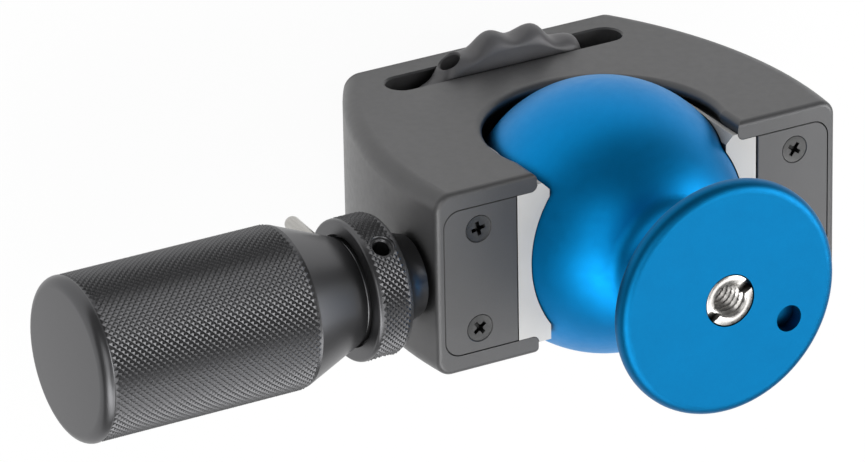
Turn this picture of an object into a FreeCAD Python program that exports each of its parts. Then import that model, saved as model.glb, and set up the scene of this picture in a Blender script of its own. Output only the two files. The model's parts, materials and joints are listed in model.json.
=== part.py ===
import FreeCAD, Part

import math
import os

V = FreeCAD.Vector

# Frame: millimetres, origin at the centre of the tripod face, +Z up the resting stem,
# +X along the clamp handle, the two flat faces of the housing towards -Y and +Y.
# "near" is the handle's side and "far" the side opposite to it.

# Running and mounting clearances
THREAD_FIT = 0.03
JOURNAL_FIT = 0.05
SLIDE_FIT = 0.10
SEAT_GAP = 0.20
EDGE_BREAK = 0.30

# Ball, neck and platform, heights above the ball's centre
BALL_RADIUS = 25.0
BALL_HEIGHT = 44.0
NECK_RADIUS = 9.6
NECK_ROUND = 4.5
NECK_TOP = 29.5
PLATFORM_REACH = 43.0
PLATFORM_RADIUS = 21.9
PLATFORM_RIM = 3.0
PLATFORM_EDGE_ROUND = 1.9
PLATFORM_BACK_ROUND = 0.7
FLARE_ROUND = 8.6
SPIGOT_RADIUS = 6.5
SPIGOT_LENGTH = 9.0
SPIGOT_ROOM = 0.5
PLATFORM_BOLT_RADIUS = 2.0
PLATFORM_BOLT_HEAD_RADIUS = 3.5
PLATFORM_BOLT_HEAD_HEIGHT = 3.2
PLATFORM_BOLT_SOCKET_RADIUS = 1.7
PLATFORM_BOLT_ENGAGEMENT = 9.0
ANTI_TWIST_RADIUS = 2.5
ANTI_TWIST_DEPTH = 2.8
ANTI_TWIST_REACH = 13.7
ANTI_TWIST_TURN = 152.1

# Slotted camera bush, three eighths inch outside and a quarter inch inside
CAMERA_BUSH_RADIUS = 4.76
CAMERA_BUSH_LIP_RADIUS = 4.9
CAMERA_BUSH_LIP = 1.2
CAMERA_BUSH_LENGTH = 9.0
CAMERA_BUSH_SINK = 0.05
CAMERA_THREAD_RADIUS = 2.6
CAMERA_THREAD_MOUTH = 0.65
BUSH_SLOT_WIDTH = 2.2
BUSH_SLOT_DEPTH = 1.4
BUSH_SLOT_TURN = 31.5

# Housing
SLAB_THICKNESS = 35.0
FACE_ABOVE_BALL = 12.2
SIDE_WALL = 11.65
SIDE_RADIUS = 82.5
SIDE_CROWN_ABOVE_BALL = 1.0
SIDE_EDGE_ROUND = 3.0
OUTLINE_ROUND = 1.0
LIP_INSET = 2.1
LIP_ROUND = 1.3
MOUTH_INSET = 4.25

# Jaws and the plates that cover them
JAW_DEPTH_BELOW_BALL = 12.0
JAW_THICKNESS = 5.2
JAW_TIP_INSET = 6.8
JAW_TIP_CHAMFER = 1.5
FLANGE_ROUND = 1.2
COVER_HALF_HEIGHT = 14.0
COVER_LAP = 0.15
COVER_THICKNESS = 2.0
COVER_CORNER_ROUND = 3.2
COVER_MARGIN = 1.46
FAR_JAW_GAP = 0.4
COVER_SCREW_FROM_JAW = 2.43
COVER_SCREW_INSET = 4.4
COVER_SCREW_RADIUS = 1.25
COVER_SCREW_HEAD_RADIUS = 2.55
COVER_SCREW_HEAD_HEIGHT = 1.35
COVER_SCREW_LENGTH = 7.0
COVER_SCREW_SINK = 0.08
RECESS_ARM = 1.35
RECESS_WIDTH = 0.75
RECESS_DEPTH = 0.8
COVER_SCREW_TURNS = {1: (12.0, 38.0), -1: (55.0, 20.0)}
SHIM_RADIUS = 6.9
SHIM_BORE_RADIUS = 2.2
SHIM_THICKNESS = 1.0

# Mounting wheel in its slot
SLOT_FLOOR = 5.8
SLOT_HEIGHT = 6.4
SLOT_HALF_LENGTH = 24.4
WHEEL_RADIUS = 23.8
WHEEL_THICKNESS = 5.8
WHEEL_FACE_RADIUS = 20.5
WHEEL_SCOOPS = 16
WHEEL_SCOOP_RADIUS = 4.2
WHEEL_SCOOP_DEPTH = 1.7
WHEEL_HOLE_TURN = -59.5
WHEEL_HOLES = 4
WHEEL_HOLE_RADIUS = 2.0
WHEEL_HOLE_DEPTH = 8.0
WHEEL_SPOT_RADIUS = 2.6
WHEEL_SPOT_DEPTH = 1.1
WHEEL_BUSH_RADIUS = 7.5
WHEEL_BUSH_SINK = 0.3
TRIPOD_THREAD_RADIUS = 4.0
TRIPOD_THREAD_MOUTH = 0.4

# Clamp train, lengths along the handle
CLAMP_ABOVE_BALL = 4.3
SLEEVE_RADIUS = 5.0
SPINDLE_RADIUS = 3.0
PILOT_RADIUS = 2.4
PLATE_THICKNESS = 1.8
PLATE_HALF_WIDTH = 7.0
PLATE_HALF_LENGTH = 5.5
THRUST_BALL_RADIUS = 2.0
THRUST_GAP = 0.05
SPRING_COUNT = 4
SPRING_RADIUS = 4.8
SPRING_BORE_RADIUS = 2.65
SPRING_SHEET = 0.5
SPRING_RISE = 0.25
SPRING_TRAVEL_ROOM = 0.6
RING_GAP = 0.8
RING_HUB_RADIUS = 7.45
RING_HUB_LENGTH = 5.75
RING_HUB_ROUND = 7.0
RING_RADIUS = 13.0
RING_INNER_EDGE_RADIUS = 12.4
RING_KNURL_LENGTH = 6.1
RING_NOSE = 0.9
RING_RECESS_RADIUS = 10.1
RING_RECESS_DEPTH = 2.0
RING_HOLES = 3
RING_HOLE_TURN = 56.0
RING_HOLE_DEPTH = 5.2
RING_SPOT_RADIUS = 2.3
RING_SPOT_DEPTH = 0.7
KEY_PIN_RADIUS = 0.75
KEY_PIN_LENGTH = 5.0
WASHER_RADIUS = 9.0
WASHER_THICKNESS = 0.5
WASHER_ROOM = 0.6
PIN_RADIUS = 1.45
PIN_REACH = 27.6
GRIP_RADIUS = 14.9
GRIP_LENGTH = 42.2
GRIP_END_ROUND = 2.0
GRIP_CONE_LENGTH = 11.9
GRIP_CONE_FOOT_RADIUS = 9.9
GRIP_NECK_RADIUS = 9.5
GRIP_GAP = 0.5
SPINDLE_GRIP_DEPTH = 22.0

# Heights and reaches worked out from the sizes above
FACE_HEIGHT = BALL_HEIGHT + FACE_ABOVE_BALL
CROWN_HEIGHT = BALL_HEIGHT + SIDE_CROWN_ABOVE_BALL
CLAMP_HEIGHT = BALL_HEIGHT + CLAMP_ABOVE_BALL
HALF_SLAB = SLAB_THICKNESS / 2
SEAT_RADIUS = BALL_RADIUS + SEAT_GAP
LIP_RADIUS = BALL_RADIUS - LIP_INSET
MOUTH_HALF_WIDTH = BALL_RADIUS - MOUTH_INSET
JAW_TIP = BALL_RADIUS - JAW_TIP_INSET
JAW_BACK = BALL_RADIUS + JAW_THICKNESS
HALF_WIDTH = JAW_BACK + SIDE_WALL
JAW_FLOOR = BALL_HEIGHT - JAW_DEPTH_BELOW_BALL
JAW_HALF_HEIGHT = COVER_HALF_HEIGHT + SLIDE_FIT + FLANGE_ROUND
COVER_FLOOR = FACE_HEIGHT - COVER_THICKNESS
COVER_INNER = BALL_RADIUS - COVER_LAP
SLOT_CENTRE = SLOT_FLOOR + SLOT_HEIGHT / 2
SPRING_PITCH = SPRING_SHEET + SPRING_RISE
SPRING_START = JAW_BACK + SPRING_TRAVEL_ROOM
SLEEVE_START = SPRING_START + SPRING_COUNT * SPRING_PITCH + THRUST_GAP
RING_START = HALF_WIDTH + RING_GAP
RING_KNURL_START = RING_START + RING_HUB_LENGTH
RING_END = RING_KNURL_START + RING_KNURL_LENGTH + RING_NOSE
RECESS_FLOOR = RING_END - RING_RECESS_DEPTH
NECK_START = RECESS_FLOOR + WASHER_THICKNESS + WASHER_ROOM
CONE_START = RING_END + GRIP_GAP
KNURL_START = CONE_START + GRIP_CONE_LENGTH
GRIP_END = KNURL_START + GRIP_LENGTH
RING_MIDDLE = RING_KNURL_START + RING_KNURL_LENGTH / 2


def side_reach(height):
    """Half width of the housing's curved side at a height."""
    rise = height - CROWN_HEIGHT
    return HALF_WIDTH - SIDE_RADIUS + math.sqrt(SIDE_RADIUS ** 2 - rise ** 2)


COVER_OUTER = side_reach(FACE_HEIGHT) - COVER_MARGIN
SCREW_REACH = JAW_BACK + COVER_SCREW_FROM_JAW
SCREW_OFFSET = COVER_HALF_HEIGHT - COVER_SCREW_INSET


def outline(start, moves, place):
    """Closed face from a start and moves: (a, b) is a line, ((a, b), (c, d)) an arc."""
    edges = []
    here = place(*start)
    for move in list(moves) + [start]:
        if isinstance(move[0], tuple):
            middle = place(*move[0])
            there = place(*move[1])
            edges.append(Part.Arc(here, middle, there).toShape())
        else:
            there = place(*move)
            if there.distanceToPoint(here) > 1e-6:
                edges.append(Part.LineSegment(here, there).toShape())
        here = there
    return Part.Face(Part.Wire(edges))


def turned(start, moves):
    """Solid of revolution about Z from an outline of (radius, height) points."""
    face = outline(start, moves, lambda radius, height: V(radius, 0, height))
    return face.revolve(V(0, 0, 0), V(0, 0, 1), 360)


def arc_middle(centre, radius, turn):
    """Point of a circle at a turn in degrees, for the middle of an arc."""
    angle = math.radians(turn)
    return (centre[0] + radius * math.cos(angle), centre[1] + radius * math.sin(angle))


def rod(radius, low, high):
    """Plain cylinder along Z between two heights."""
    return Part.makeCylinder(radius, high - low, V(0, 0, low))


def along_clamp(shape):
    """Lay a piece made about Z on the clamp axis, its heights as reaches from the middle."""
    laid = shape.copy()
    laid.rotate(V(0, 0, 0), V(0, 1, 0), 90)
    laid.translate(V(0, 0, CLAMP_HEIGHT))
    return laid


def across(shape, reach, height):
    """Move a piece made about Z so that its axis is level, along X, at a height."""
    laid = shape.copy()
    laid.rotate(V(0, 0, 0), V(0, 1, 0), 90)
    laid.translate(V(reach, 0, height))
    return laid


def mirrored(shape, side):
    """The shape itself on the near side, its mirror image on the far side."""
    if side > 0:
        return shape
    return shape.mirror(V(0, 0, 0), V(1, 0, 0))


def box(low, high):
    """Box from its lowest to its highest corner."""
    size = [b - a for a, b in zip(low, high)]
    return Part.makeBox(size[0], size[1], size[2], V(*low))


def edges_where(shape, test):
    """Edges of a shape whose middle point passes a test."""
    found = []
    for edge in shape.Edges:
        middle = edge.valueAt((edge.FirstParameter + edge.LastParameter) / 2)
        if test(edge, middle):
            found.append(edge)
    return found


# Ball with its neck
def ball():
    centre = (
        NECK_RADIUS + NECK_ROUND,
        math.sqrt((BALL_RADIUS + NECK_ROUND) ** 2 - (NECK_RADIUS + NECK_ROUND) ** 2),
    )
    share = BALL_RADIUS / (BALL_RADIUS + NECK_ROUND)
    tangent = (centre[0] * share, centre[1] * share)
    tangent_turn = math.degrees(math.atan2(-centre[1], -centre[0])) % 360
    middle = arc_middle(centre, NECK_ROUND, (180 + tangent_turn) / 2)
    solid = turned(
        (0, -BALL_RADIUS),
        [
            ((BALL_RADIUS, 0), tangent),
            (middle, (NECK_RADIUS, centre[1])),
            (NECK_RADIUS, NECK_TOP),
            (0, NECK_TOP),
        ],
    )
    spigot_floor = NECK_TOP - SPIGOT_LENGTH - SPIGOT_ROOM
    solid = solid.cut(rod(SPIGOT_RADIUS + JOURNAL_FIT, spigot_floor, NECK_TOP + 1))
    bolt_floor = spigot_floor - PLATFORM_BOLT_ENGAGEMENT - 1
    solid = solid.cut(rod(PLATFORM_BOLT_RADIUS + JOURNAL_FIT, bolt_floor, NECK_TOP))
    solid.translate(V(0, 0, BALL_HEIGHT))
    return solid


# Platform disc with its flared foot and spigot
def platform():
    under = PLATFORM_REACH - PLATFORM_RIM
    foot = NECK_TOP + JOURNAL_FIT
    flare = (NECK_RADIUS + FLARE_ROUND, under - FLARE_ROUND)
    back = (PLATFORM_RADIUS - PLATFORM_BACK_ROUND, under + PLATFORM_BACK_ROUND)
    edge = (PLATFORM_RADIUS - PLATFORM_EDGE_ROUND, PLATFORM_REACH - PLATFORM_EDGE_ROUND)
    solid = turned(
        (0, NECK_TOP - SPIGOT_LENGTH),
        [
            (SPIGOT_RADIUS, NECK_TOP - SPIGOT_LENGTH),
            (SPIGOT_RADIUS, foot),
            (NECK_RADIUS, foot),
            (NECK_RADIUS, flare[1]),
            (arc_middle(flare, FLARE_ROUND, 135), (flare[0], under)),
            (back[0], under),
            (arc_middle(back, PLATFORM_BACK_ROUND, -45), (PLATFORM_RADIUS, back[1])),
            (PLATFORM_RADIUS, edge[1]),
            (arc_middle(edge, PLATFORM_EDGE_ROUND, 45), (edge[0], PLATFORM_REACH)),
            (0, PLATFORM_REACH),
        ],
    )
    bush_floor = PLATFORM_REACH - CAMERA_BUSH_LENGTH - CAMERA_BUSH_SINK
    lip_floor = PLATFORM_REACH - CAMERA_BUSH_LIP - CAMERA_BUSH_SINK
    top = PLATFORM_REACH + 1
    solid = solid.cut(rod(CAMERA_BUSH_LIP_RADIUS + THREAD_FIT, lip_floor, top))
    solid = solid.cut(rod(CAMERA_BUSH_RADIUS + THREAD_FIT, bush_floor, top))
    head_seat = bolt_head_seat()
    solid = solid.cut(rod(PLATFORM_BOLT_HEAD_RADIUS + SLIDE_FIT, head_seat, bush_floor))
    low = NECK_TOP - SPIGOT_LENGTH - 1
    solid = solid.cut(rod(PLATFORM_BOLT_RADIUS + SLIDE_FIT, low, head_seat))
    pin_hole = rod(ANTI_TWIST_RADIUS, PLATFORM_REACH - ANTI_TWIST_DEPTH, top)
    pin_hole.translate(V(ANTI_TWIST_REACH, 0, 0))
    pin_hole.rotate(V(0, 0, 0), V(0, 0, 1), ANTI_TWIST_TURN)
    solid = solid.cut(pin_hole)
    solid.translate(V(0, 0, BALL_HEIGHT))
    return solid


def bolt_head_seat():
    """Height above the ball's centre on which the platform bolt's head rests."""
    bush_floor = PLATFORM_REACH - CAMERA_BUSH_LENGTH - CAMERA_BUSH_SINK
    return bush_floor - PLATFORM_BOLT_HEAD_HEIGHT - 1.0


# Bolt that holds the platform on the ball's neck
def platform_bolt():
    seat = bolt_head_seat()
    tip = NECK_TOP - SPIGOT_LENGTH - SPIGOT_ROOM - PLATFORM_BOLT_ENGAGEMENT
    top = seat + PLATFORM_BOLT_HEAD_HEIGHT
    solid = rod(PLATFORM_BOLT_RADIUS, tip, seat)
    solid = solid.fuse(rod(PLATFORM_BOLT_HEAD_RADIUS, seat, top))
    key = Part.makePolygon(
        [
            V(*arc_middle((0, 0), PLATFORM_BOLT_SOCKET_RADIUS, 60 * step), 0)
            for step in range(7)
        ]
    )
    socket = Part.Face(key).extrude(V(0, 0, PLATFORM_BOLT_HEAD_HEIGHT / 2))
    socket.translate(V(0, 0, top - PLATFORM_BOLT_HEAD_HEIGHT / 2))
    solid = solid.cut(socket).removeSplitter()
    solid.translate(V(0, 0, BALL_HEIGHT))
    return solid


# Slotted bush that takes the camera's quarter inch screw
def camera_thread_bush():
    top = PLATFORM_REACH - CAMERA_BUSH_SINK
    low = top - CAMERA_BUSH_LENGTH
    solid = turned(
        (CAMERA_THREAD_RADIUS, low),
        [
            (CAMERA_BUSH_RADIUS, low),
            (CAMERA_BUSH_RADIUS, top - CAMERA_BUSH_LIP),
            (CAMERA_BUSH_LIP_RADIUS, top - CAMERA_BUSH_LIP),
            (CAMERA_BUSH_LIP_RADIUS, top),
            (CAMERA_THREAD_RADIUS + CAMERA_THREAD_MOUTH, top),
            (CAMERA_THREAD_RADIUS, top - CAMERA_THREAD_MOUTH),
        ],
    )
    half = BUSH_SLOT_WIDTH / 2
    reach = CAMERA_BUSH_LIP_RADIUS + 1
    slot = box((-reach, -half, top - BUSH_SLOT_DEPTH), (reach, half, top + 1))
    slot.rotate(V(0, 0, 0), V(0, 0, 1), BUSH_SLOT_TURN)
    solid = solid.cut(slot)
    solid.translate(V(0, 0, BALL_HEIGHT))
    return solid


# Housing blank: two curved sides between the tripod face and the jaw face
def housing_blank():
    foot = side_reach(0)
    shoulder = side_reach(FACE_HEIGHT)
    face = outline(
        (-foot, 0),
        [
            (foot, 0),
            ((HALF_WIDTH, CROWN_HEIGHT), (shoulder, FACE_HEIGHT)),
            (-shoulder, FACE_HEIGHT),
            ((-HALF_WIDTH, CROWN_HEIGHT), (-foot, 0)),
        ],
        lambda reach, height: V(reach, -HALF_SLAB, height),
    )
    blank = face.extrude(V(0, SLAB_THICKNESS, 0))
    sides = edges_where(
        blank,
        lambda edge, middle: abs(abs(middle.y) - HALF_SLAB) < 1e-3
        and 1 < middle.z < FACE_HEIGHT - 1,
    )
    blank = blank.makeFillet(SIDE_EDGE_ROUND, sides)
    rims = edges_where(
        blank,
        lambda edge, middle: middle.z < 1e-3 or middle.z > FACE_HEIGHT - 1e-3,
    )
    return blank.makeFillet(OUTLINE_ROUND, rims)


# Room for the ball: a round cavity whose lips are rounded where it meets the flat faces
def ball_cavity():
    lip_height = HALF_SLAB - LIP_ROUND
    lip_centre_reach = math.hypot(LIP_RADIUS, lip_height)
    cavity_radius = lip_centre_reach - LIP_ROUND
    share = cavity_radius / lip_centre_reach
    tangent = (LIP_RADIUS * share, lip_height * share)
    turn = (180 + math.degrees(math.atan2(lip_height, LIP_RADIUS)) + 90) / 2
    far = HALF_SLAB + 1
    upper = (LIP_RADIUS, lip_height)
    cavity = turned(
        (0, -far),
        [
            (LIP_RADIUS, -far),
            (LIP_RADIUS, -HALF_SLAB),
            (
                arc_middle((LIP_RADIUS, -lip_height), LIP_ROUND, -turn),
                (tangent[0], -tangent[1]),
            ),
            ((cavity_radius, 0), tangent),
            (arc_middle(upper, LIP_ROUND, turn), (LIP_RADIUS, HALF_SLAB)),
            (LIP_RADIUS, far),
            (0, far),
        ],
    )
    cavity.rotate(V(0, 0, 0), V(1, 0, 0), 90)
    cavity.translate(V(0, 0, BALL_HEIGHT))
    return cavity.fuse(mouth_blank(far))


def mouth_blank(far):
    """Gap between the flanges above the ball's middle, rounded like the lips."""
    wide = MOUTH_HALF_WIDTH + LIP_ROUND
    corner = HALF_SLAB - LIP_ROUND
    half = MOUTH_HALF_WIDTH
    face = outline(
        (-wide, -far),
        [
            (wide, -far),
            (wide, -HALF_SLAB),
            (arc_middle((wide, -corner), LIP_ROUND, 225), (half, -corner)),
            (half, corner),
            (arc_middle((wide, corner), LIP_ROUND, 135), (wide, HALF_SLAB)),
            (wide, far),
            (-wide, far),
            (-wide, HALF_SLAB),
            (arc_middle((-wide, corner), LIP_ROUND, 45), (-half, corner)),
            (-half, -corner),
            (arc_middle((-wide, -corner), LIP_ROUND, -45), (-wide, -HALF_SLAB)),
        ],
        lambda reach, offset: V(reach, offset, BALL_HEIGHT),
    )
    return face.extrude(V(0, 0, FACE_ABOVE_BALL + 1))


def jaw_outline(grow, inner, outer, height):
    """Jaw or pocket from above: wider in front, where the flanges are rounded inside."""
    round_radius = FLANGE_ROUND + SLIDE_FIT - grow
    centre_reach = MOUTH_HALF_WIDTH + FLANGE_ROUND
    shoulder = (centre_reach, JAW_HALF_HEIGHT)
    front = centre_reach - round_radius
    low = JAW_HALF_HEIGHT - round_radius
    tall = JAW_HALF_HEIGHT + grow
    below = (centre_reach, -JAW_HALF_HEIGHT)
    return outline(
        (inner, -tall),
        [
            (front, -tall),
            (front, -JAW_HALF_HEIGHT),
            (arc_middle(below, round_radius, 135), (centre_reach, -low)),
            (outer, -low),
            (outer, low),
            (centre_reach, low),
            (arc_middle(shoulder, round_radius, -135), (front, JAW_HALF_HEIGHT)),
            (front, tall),
            (inner, tall),
        ],
        lambda reach, offset: V(reach, offset, height),
    )


# Pocket that holds a jaw, with the shallow recess of its cover plate
def jaw_pocket(side):
    top = FACE_HEIGHT + 1
    floor = JAW_FLOOR - SLIDE_FIT
    back = JAW_BACK + SLIDE_FIT
    inner = MOUTH_HALF_WIDTH - 5
    pocket = jaw_outline(SLIDE_FIT, inner, back, floor).extrude(V(0, 0, top - floor))
    recess = cover_blank(SLIDE_FIT, COVER_FLOOR, top)
    return mirrored(pocket.fuse(recess), side)


def cover_blank(grow, low, high):
    """Cover plate or its recess, rounded at its two outer corners."""
    half = COVER_HALF_HEIGHT + grow
    outer = COVER_OUTER + grow
    inner = COVER_INNER - grow
    blank = box((inner, -half, low), (outer, half, high))
    corners = edges_where(
        blank,
        lambda edge, middle: abs(middle.x - outer) < 1e-3
        and abs(abs(middle.y) - half) < 1e-3
        and abs(middle.z - (low + high) / 2) < 1e-3,
    )
    return blank.makeFillet(COVER_CORNER_ROUND, corners)


def screw_places(side):
    """Axes of a side's two cover screws, each with the turn of its cross."""
    turns = COVER_SCREW_TURNS[side]
    return [
        (V(side * SCREW_REACH, SCREW_OFFSET * row, 0), turn)
        for row, turn in zip((-1, 1), turns)
    ]


# Slot for the wheel, open at both flat faces
def wheel_slot():
    end = SLOT_HEIGHT / 2
    straight = SLOT_HALF_LENGTH - end
    top = SLOT_FLOOR + SLOT_HEIGHT
    reach = HALF_SLAB + 1
    face = outline(
        (-straight, SLOT_FLOOR),
        [
            (straight, SLOT_FLOOR),
            ((SLOT_HALF_LENGTH, SLOT_CENTRE), (straight, top)),
            (-straight, top),
            ((-SLOT_HALF_LENGTH, SLOT_CENTRE), (-straight, SLOT_FLOOR)),
        ],
        lambda along, height: V(along, -reach, height),
    )
    return face.extrude(V(0, 2 * reach, 0))


def slot_rims(solid):
    """Edges of the wheel slot in the two flat faces."""
    return edges_where(
        solid,
        lambda edge, middle: abs(abs(middle.y) - HALF_SLAB) < 1e-3
        and abs(middle.z - SLOT_CENTRE) < SLOT_HEIGHT / 2 + 1e-3
        and abs(middle.x) < SLOT_HALF_LENGTH + 1e-3,
    )


# Housing block with every opening
def housing():
    solid = housing_blank()
    solid = solid.cut(ball_cavity())
    for side in (1, -1):
        solid = solid.cut(jaw_pocket(side))
        for place, _ in screw_places(side):
            hole = rod(COVER_SCREW_RADIUS + THREAD_FIT, screw_tip() - 1, FACE_HEIGHT)
            hole.translate(place)
            solid = solid.cut(hole)
    solid = solid.cut(wheel_slot())
    solid = solid.makeChamfer(EDGE_BREAK, slot_rims(solid))
    bore = rod(WHEEL_BUSH_RADIUS + JOURNAL_FIT, -1, SLOT_CENTRE)
    solid = solid.cut(bore)
    mouth = Part.makeCone(
        WHEEL_BUSH_RADIUS + JOURNAL_FIT + EDGE_BREAK + 1,
        WHEEL_BUSH_RADIUS + JOURNAL_FIT,
        EDGE_BREAK + 1,
        V(0, 0, -1),
    )
    solid = solid.cut(mouth)
    clamp_bore = rod(SLEEVE_RADIUS + THREAD_FIT, JAW_BACK - 1, HALF_WIDTH + 1)
    solid = solid.cut(along_clamp(clamp_bore))
    shim_room = rod(SHIM_RADIUS + SLIDE_FIT, -shim_back(), 1 - JAW_BACK)
    return solid.cut(across(shim_room, 0, BALL_HEIGHT)).removeSplitter()


def shim_back():
    """Reach of the bottom of the shim's round seat."""
    return JAW_BACK + SHIM_THICKNESS + 2 * SLIDE_FIT


# Jaw: block with a round seat, stepped under its cover plate
def jaw(side, face_gap):
    block = jaw_outline(0, JAW_TIP, JAW_BACK, JAW_FLOOR)
    block = block.extrude(V(0, 0, FACE_HEIGHT - JAW_FLOOR))
    tips = edges_where(
        block,
        lambda edge, middle: abs(middle.x - JAW_TIP) < 1e-3
        and abs(middle.y + JAW_HALF_HEIGHT) < 1e-3,
    )
    block = block.makeChamfer(JAW_TIP_CHAMFER, tips)
    step = box(
        (COVER_INNER - face_gap, -SLAB_THICKNESS, COVER_FLOOR - SLIDE_FIT),
        (JAW_BACK + 1, SLAB_THICKNESS, FACE_HEIGHT + 1),
    )
    block = block.cut(step)
    block = block.cut(Part.makeSphere(SEAT_RADIUS, V(0, 0, BALL_HEIGHT)))
    if side > 0:
        block = block.cut(pressure_blank(SLIDE_FIT / 2))
    return mirrored(block, side)


def pressure_blank(grow):
    """Pressure plate or the recess for it in the back of the near jaw."""
    low = JAW_BACK - PLATE_THICKNESS
    half = PLATE_HALF_WIDTH + grow
    long = PLATE_HALF_LENGTH + grow
    return box(
        (low, -half, CLAMP_HEIGHT - long),
        (JAW_BACK + grow * 2, half, CLAMP_HEIGHT + long),
    )


# Steel plate in the near jaw's back
def pressure_plate():
    plate = pressure_blank(0)
    return plate.makeChamfer(EDGE_BREAK, plate.Edges)


# Round shim behind the far jaw
def far_jaw_shim():
    start = JAW_BACK + SLIDE_FIT / 2
    ring = rod(SHIM_RADIUS, -start - SHIM_THICKNESS, -start)
    ring = ring.cut(rod(SHIM_BORE_RADIUS, -start - SHIM_THICKNESS - 1, 1 - start))
    return across(ring, 0, BALL_HEIGHT)


# Cover plate with its two countersunk holes
def cover_plate(side):
    plate = cover_blank(0, COVER_FLOOR, FACE_HEIGHT)
    top = edges_where(plate, lambda edge, middle: middle.z > FACE_HEIGHT - 1e-3)
    plate = plate.makeChamfer(EDGE_BREAK / 2, top)
    mouth = COVER_SCREW_HEAD_RADIUS + SLIDE_FIT
    shank = COVER_SCREW_RADIUS + SLIDE_FIT
    seat = FACE_HEIGHT - COVER_SCREW_SINK - COVER_SCREW_HEAD_HEIGHT
    for row in (-1, 1):
        place = V(SCREW_REACH, SCREW_OFFSET * row, 0)
        hole = Part.makeCone(shank, mouth, FACE_HEIGHT - seat, V(0, 0, seat))
        hole = hole.fuse(rod(shank, COVER_FLOOR - 1, FACE_HEIGHT - EDGE_BREAK))
        hole.translate(place)
        plate = plate.cut(hole)
    return mirrored(plate, side)


def screw_tip():
    return FACE_HEIGHT - COVER_SCREW_SINK - COVER_SCREW_LENGTH


# Countersunk screws with a cross recess
def cover_screws(side):
    top = FACE_HEIGHT - COVER_SCREW_SINK
    seat = top - COVER_SCREW_HEAD_HEIGHT
    screws = []
    for place, turn in screw_places(side):
        screw = Part.makeCone(
            COVER_SCREW_RADIUS,
            COVER_SCREW_HEAD_RADIUS,
            COVER_SCREW_HEAD_HEIGHT,
            V(0, 0, seat),
        )
        screw = screw.fuse(rod(COVER_SCREW_RADIUS, screw_tip(), seat))
        half = RECESS_WIDTH / 2
        for quarter in (0, 90):
            arm = box((-RECESS_ARM, -half, top - RECESS_DEPTH), (RECESS_ARM, half, top + 1))
            arm.rotate(V(0, 0, 0), V(0, 0, 1), turn + quarter)
            screw = screw.cut(arm)
        screw.translate(place)
        screws.append(screw.removeSplitter())
    return Part.makeCompound(screws)


def scoop_places():
    """Turns of the wheel's scoops, half way between its lobes."""
    step = 360 / WHEEL_SCOOPS
    return [WHEEL_HOLE_TURN + step * (number + 0.5) for number in range(WHEEL_SCOOPS)]


# Scalloped wheel with holes for the tommy pin
def mounting_wheel():
    half = WHEEL_THICKNESS / 2
    belly = (
        (WHEEL_FACE_RADIUS + WHEEL_RADIUS) / 2 + (WHEEL_RADIUS - WHEEL_FACE_RADIUS) * 0.24,
        half * 0.6,
    )
    wheel = turned(
        (0, -half),
        [
            (WHEEL_FACE_RADIUS, -half),
            ((belly[0], -belly[1]), (WHEEL_RADIUS, 0)),
            (belly, (WHEEL_FACE_RADIUS, half)),
            (0, half),
        ],
    )
    scoop_reach = WHEEL_RADIUS + WHEEL_SCOOP_RADIUS - WHEEL_SCOOP_DEPTH
    for turn in scoop_places():
        scoop = rod(WHEEL_SCOOP_RADIUS, -half - 1, half + 1)
        scoop.translate(V(*arc_middle((0, 0), scoop_reach, turn), 0))
        wheel = wheel.cut(scoop)
    for number in range(WHEEL_HOLES):
        hole = rod(WHEEL_HOLE_RADIUS, WHEEL_RADIUS - WHEEL_HOLE_DEPTH, WHEEL_RADIUS + 1)
        spot = rod(WHEEL_SPOT_RADIUS, WHEEL_RADIUS - WHEEL_SPOT_DEPTH, WHEEL_RADIUS + 1)
        hole = hole.fuse(spot)
        hole.rotate(V(0, 0, 0), V(0, 1, 0), 90)
        hole.rotate(V(0, 0, 0), V(0, 0, 1), WHEEL_HOLE_TURN + 360 / WHEEL_HOLES * number)
        wheel = wheel.cut(hole)
    wheel = wheel.cut(rod(WHEEL_BUSH_RADIUS, -half - 1, half + 1))
    wheel.translate(V(0, 0, SLOT_CENTRE))
    return wheel


# Threaded bush in the wheel, for the tripod's three eighths inch stud
def wheel_thread_bush():
    top = SLOT_CENTRE + WHEEL_THICKNESS / 2
    low = WHEEL_BUSH_SINK
    mouth = TRIPOD_THREAD_RADIUS + TRIPOD_THREAD_MOUTH
    return turned(
        (mouth, low),
        [
            (WHEEL_BUSH_RADIUS - EDGE_BREAK, low),
            (WHEEL_BUSH_RADIUS, low + EDGE_BREAK),
            (WHEEL_BUSH_RADIUS, top),
            (TRIPOD_THREAD_RADIUS, top),
            (TRIPOD_THREAD_RADIUS, low + TRIPOD_THREAD_MOUTH),
        ],
    )


def ring_hole_turns():
    """Turns of the ring's radial holes about the clamp axis, from straight up."""
    return [RING_HOLE_TURN + 360 / RING_HOLES * number for number in range(RING_HOLES)]


def radial(shape, turn):
    """Stand a piece made about Z, from the clamp axis outward, on the ring at a turn."""
    stood = shape.copy()
    stood.rotate(V(0, 0, 0), V(1, 0, 0), turn)
    stood.translate(V(RING_MIDDLE, 0, CLAMP_HEIGHT))
    return stood


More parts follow.
